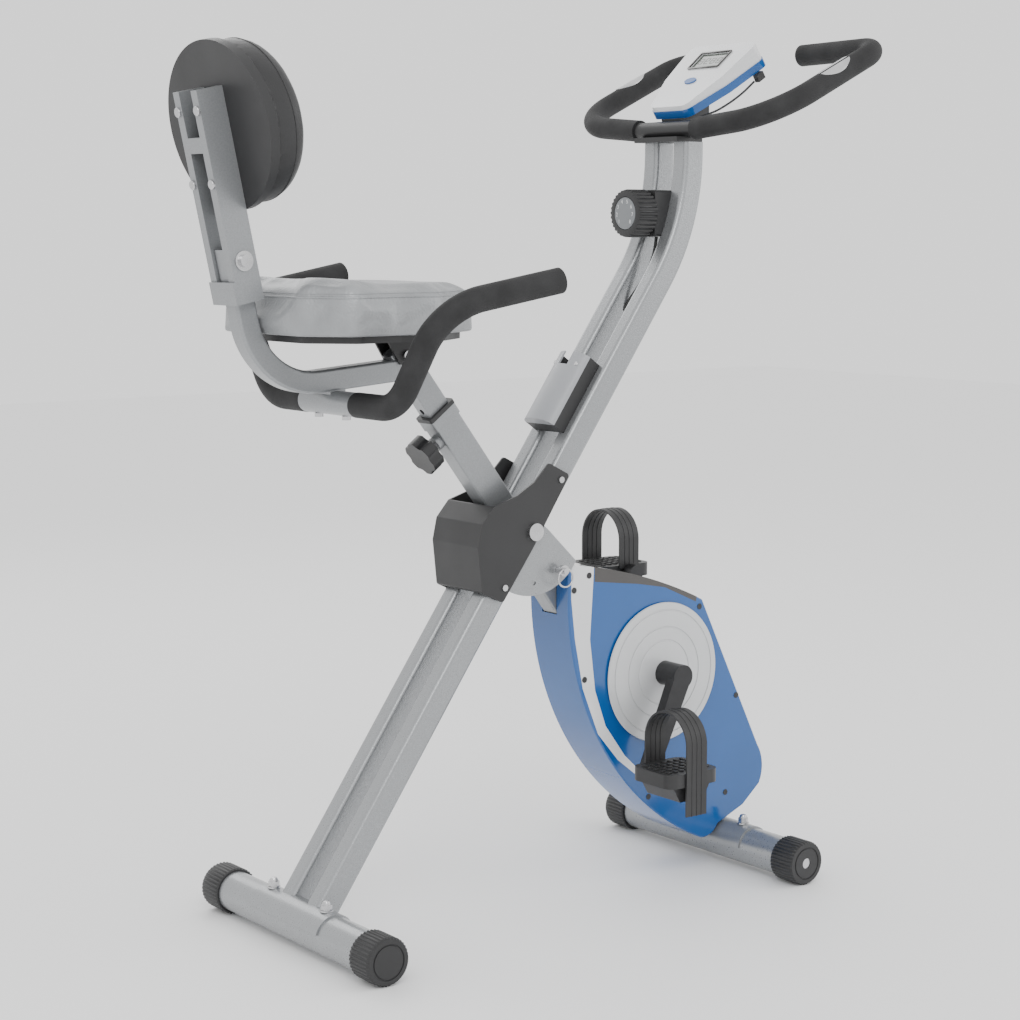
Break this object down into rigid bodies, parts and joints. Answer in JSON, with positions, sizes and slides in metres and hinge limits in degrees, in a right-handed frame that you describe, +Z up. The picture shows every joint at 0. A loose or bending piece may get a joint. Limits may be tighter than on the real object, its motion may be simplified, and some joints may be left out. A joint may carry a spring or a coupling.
{
  "type": "folding exercise bike",
  "caption": "Folding X-frame exercise bike with backrest, seat-side grips, handlebar with pulse plates, console, tension dial, belt drive and magnetic flywheel",
  "frame": {"origin": "On the floor, under the fold axis and on the middle plane; this is also the middle of the footprint of the whole bike", "axes": "+X forward, the way the rider faces; +Y to the rider's left; +Z up. Metres"},
  "size_m": [1.0341, 0.5536, 1.2455],
  "materials": {
    "frame_silver": "silver-grey hammertone enamel, smooth and glossy over a fine mottle",
    "frame_grey": "mid-grey hammertone enamel, satin",
    "bar_black": "black powder coat, satin",
    "foam_black": "black closed-cell foam, matt with fine pores",
    "cap_black": "black moulded plastic, fine-textured",
    "knob_black": "black moulded plastic, satin",
    "strap_black": "black flexible vinyl strap, satin",
    "holder_grey": "silver-grey moulded plastic, satin",
    "housing_blue": "deep blue moulded plastic, glossy",
    "band_white": "white moulded plastic, glossy",
    "smoke_strip": "smoked dark plastic, glossy",
    "disc_silver": "silver-white moulded plastic, satin",
    "screen_dark": "dark display window, glossy",
    "button_blue": "blue moulded plastic, satin",
    "sensor_metal": "polished stainless plate",
    "bolt_steel": "bright zinc plated steel",
    "crank_steel": "dark machined steel, satin",
    "wheel_iron": "turned cast iron, oiled",
    "pulley_nylon": "black nylon",
    "belt_rubber": "black ribbed belt rubber, matt",
    "cord_black": "black cable sheath, satin",
    "vinyl_silver": "silver-grey dimpled vinyl, satin, with a stitched seam",
    "vinyl_black": "black grained vinyl, satin, with a welt"
  },
  "bodies": {
    "rear_frame": {"rails": "frame_silver", "rear_saddle": "frame_silver", "rear_stabiliser": "frame_silver", "rear_caps": "cap_black", "rear_bolts": "bolt_steel", "handlebar": "bar_black", "handlebar_grips": "foam_black", "pulse_sensors": "sensor_metal", "console_bracket": "bar_black", "console_base": "housing_blue", "console_cover": "band_white", "console_screen": "screen_dark", "sensor_lead": "cord_black", "tension_base": "cap_black", "tension_cable": "cord_black", "holder_body": "cap_black", "holder_face": "holder_grey", "cover_screws": "bolt_steel", "hinge_cover": "cap_black", "pivot_bolt": "bolt_steel"},
    "main_frame": {"main_tube": "frame_grey", "sleeve_bush": "cap_black", "front_stabiliser": "frame_silver", "front_bolts": "bolt_steel", "housing_left": "housing_blue", "housing_right": "housing_blue", "housing_bands": "band_white", "housing_window": "smoke_strip", "housing_screws": "cap_black", "bearings": "crank_steel", "drive_belt": "belt_rubber"},
    "seat": {"seat_post": "frame_grey", "seat_frame": "frame_grey", "seat_board": "cap_black", "seat_cushion": "vinyl_silver", "seat_bolts": "bolt_steel", "grip_bar": "bar_black", "seat_grips": "foam_black"},
    "backrest": {"backrest_bars": "frame_grey", "backrest_shell": "cap_black", "backrest_pad": "vinyl_black", "backrest_bolts": "bolt_steel"},
    "crank": {"crank_axle": "crank_steel", "drive_pulley": "pulley_nylon", "crank_arms": "crank_steel", "crank_discs": "disc_silver"},
    "pedal_left": {"pedal_left": "cap_black", "pedal_strap_left": "strap_black"},
    "pedal_right": {"pedal_right": "cap_black", "pedal_strap_right": "strap_black"},
    "flywheel": {"flywheel": "wheel_iron", "flywheel_axle": "crank_steel"},
    "magnet_arm": {"magnet_arm": "crank_steel"},
    "seat_pin": {"seat_pin": "bolt_steel"},
    "seat_knob": {"seat_knob": "knob_black"},
    "lock_pin": {"lock_pin": "bolt_steel"},
    "tension_dial": {"tension_dial": "knob_black"},
    "console_button": {"console_button": "button_blue"},
    "roller_left": {"roller_left": "cap_black"},
    "roller_right": {"roller_right": "cap_black"}
  },
  "joints": [
    {"name": "fold", "type": "hinge", "parent": "rear_frame", "child": "main_frame", "pos_m": [0, 0, 0.545], "axis": [0, 1, 0], "range_deg": [0, 36]},
    {"name": "lock_pin_slide", "type": "slide", "parent": "rear_frame", "child": "lock_pin", "axis": [0, -1, 0], "range_m": [-0.01, 0.035]},
    {"name": "seat_height", "type": "slide", "parent": "main_frame", "child": "seat", "axis": [-0.6026, 0, 0.7981], "range_m": [-0.05, 0.075]},
    {"name": "backrest_fold", "type": "hinge", "parent": "seat", "child": "backrest", "pos_m": [-0.451, 0, 0.929], "axis": [0, 1, 0], "range_deg": [0, 70]},
    {"name": "flywheel_spin", "type": "hinge", "parent": "main_frame", "child": "flywheel", "pos_m": [0.348, 0, 0.19], "axis": [0, 1, 0], "continuous": true},
    {"name": "crank_spin", "type": "hinge", "parent": "main_frame", "child": "crank", "pos_m": [0.2459, 0, 0.3128], "axis": [0, 1, 0], "continuous": true},
    {"name": "pedal_left_spin", "type": "hinge", "parent": "crank", "child": "pedal_left", "pos_m": [0.30307, 0, 0.4406], "axis": [0, 1, 0], "continuous": true},
    {"name": "pedal_right_spin", "type": "hinge", "parent": "crank", "child": "pedal_right", "pos_m": [0.18873, 0, 0.185], "axis": [0, 1, 0], "continuous": true},
    {"name": "tension_dial_turn", "type": "hinge", "parent": "rear_frame", "child": "tension_dial", "pos_m": [0.245, 0, 0.992], "axis": [-1, 0, 0], "range_deg": [0, 270]},
    {"name": "magnet_arm_swing", "type": "hinge", "parent": "main_frame", "child": "magnet_arm", "pos_m": [0.27352, 0, 0.233], "axis": [0, 1, 0], "range_deg": [-7, 0]},
    {"name": "seat_pin_pull", "type": "slide", "parent": "main_frame", "child": "seat_pin", "axis": [-0.7981, 0, -0.6026], "range_m": [-0.008, 0.006]},
    {"name": "seat_knob_turn", "type": "hinge", "parent": "seat_pin", "child": "seat_knob", "pos_m": [-0.14927, 0, 0.65972], "axis": [-0.7981, 0, -0.6026], "continuous": true},
    {"name": "console_button_press", "type": "slide", "parent": "rear_frame", "child": "console_button", "axis": [0.6445, 0, -0.7646], "range_m": [0, 0.0012], "stiffness_N_per_m": 400, "springref_m": -0.001},
    {"name": "roller_left_spin", "type": "hinge", "parent": "main_frame", "child": "roller_left", "pos_m": [0.3866, 0.194, 0.033], "axis": [0, 1, 0], "continuous": true},
    {"name": "roller_right_spin", "type": "hinge", "parent": "main_frame", "child": "roller_right", "pos_m": [0.3866, -0.194, 0.033], "axis": [0, 1, 0], "continuous": true}
  ],
  "couplings": [
    {"joint": "crank_spin", "follows": "flywheel_spin", "ratio": 0.15347},
    {"joint": "magnet_arm_swing", "follows": "tension_dial_turn", "ratio": -0.025926}
  ]
}
